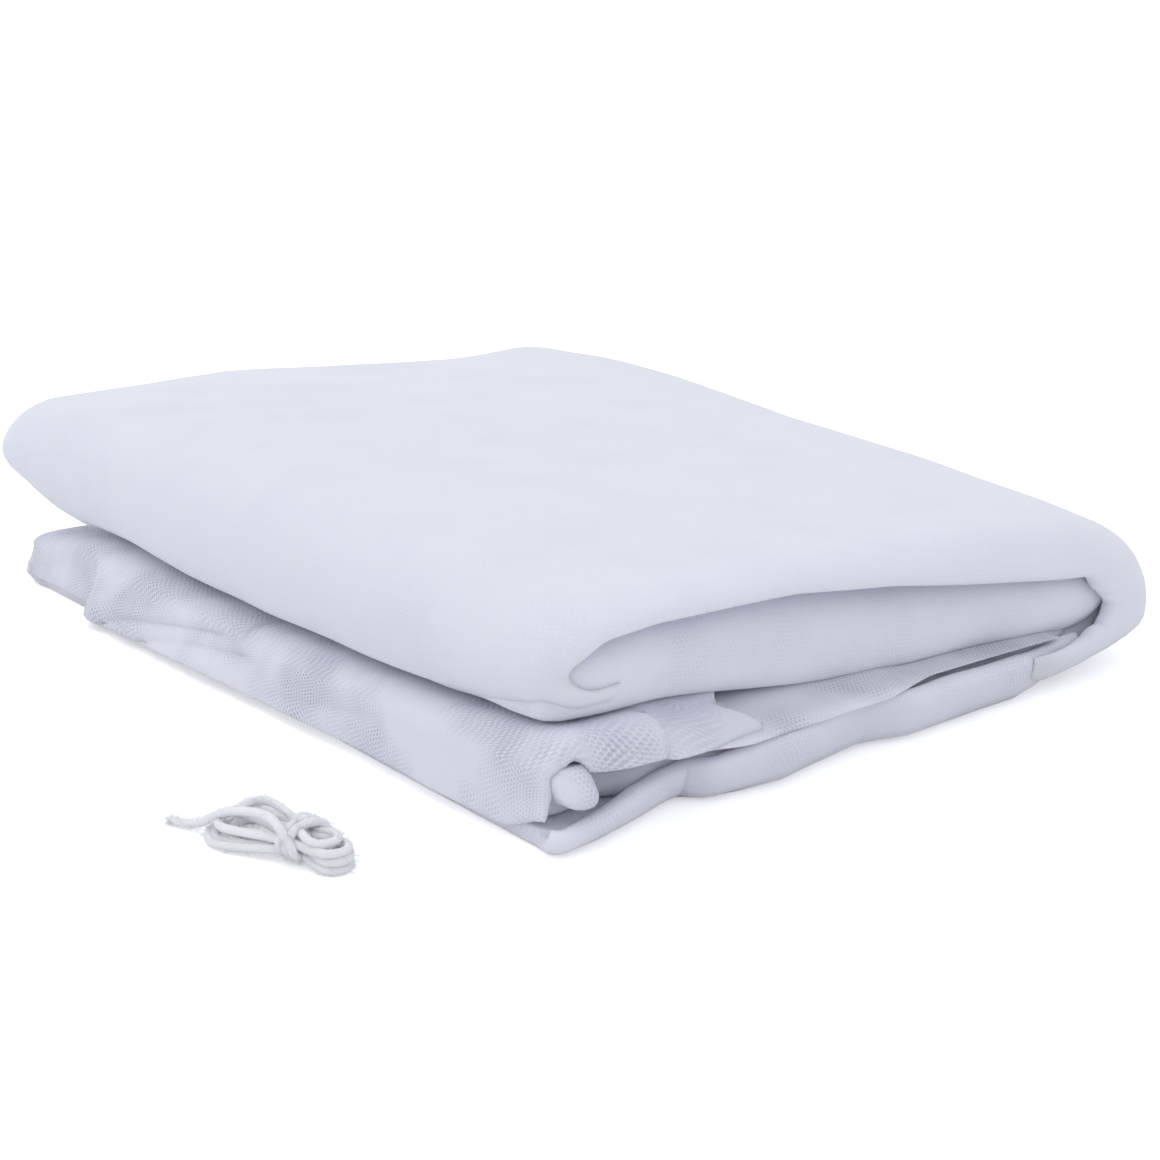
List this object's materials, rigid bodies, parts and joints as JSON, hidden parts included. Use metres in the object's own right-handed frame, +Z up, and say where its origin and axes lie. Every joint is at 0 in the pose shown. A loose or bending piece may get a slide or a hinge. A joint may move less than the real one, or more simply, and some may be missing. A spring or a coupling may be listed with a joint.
{
  "type": "folded bed net",
  "caption": "Fine white rectangular bed net folded into a soft bundle that opens about its end fold, with a small hank of hanging cord beside it.",
  "frame": {"origin": "middle of the folded bundle's footprint, at the surface it lies on, without the cord", "axes": "+X towards the end fold that the top half opens about, +Y along the folds, +Z up"},
  "size_m": [0.3907, 0.396, 0.084],
  "materials": {
    "netting": "fine warp-knitted polyester netting in many layers, soft and milky white with a cool tint",
    "netting_folds": "stacked folds of the same netting, a shade deeper where the light falls off between layers",
    "selvedge": "closer-knitted netting edge, a little brighter and denser",
    "tape": "white woven polyester binding tape and loop webbing, matt, finely ribbed",
    "cord": "soft white braided polyester cord, lightly fuzzy"
  },
  "bodies": {
    "lower_half": {"roof_panel_under": "netting", "foot_wall": "netting_folds", "near_wall_bottom_leaf": "netting_folds", "near_wall_middle_leaf": "netting_folds", "near_wall_top_leaf": "netting", "near_wall_roll": "netting", "near_wall_corner": "netting", "near_wall_selvedge": "selvedge", "roof_panel_turn": "netting", "foot_wall_turn": "netting_folds", "roof_binding_lower": "tape", "corner_loop_1": "tape", "corner_loop_2": "tape"},
    "upper_half": {"roof_panel_top": "netting", "head_wall": "netting_folds", "far_wall": "netting_folds", "roof_binding_upper": "tape", "corner_loop_3": "tape", "corner_loop_4": "tape"},
    "hank": {"cord_hank": "cord", "cord_end": "cord", "cord_wrap": "cord"}
  },
  "joints": [
    {"name": "top_half_fold", "type": "hinge", "parent": "lower_half", "child": "upper_half", "pos_m": [0.118, 0, 0.034], "axis": [0, 1, 0], "range_deg": [0, 174], "deforming": ["roof_panel_turn", "foot_wall_turn"]},
    {"name": "hank_lift", "type": "slide", "parent": "lower_half", "child": "hank", "axis": [0, 0, 1], "range_m": [0, 0.12]}
  ]
}
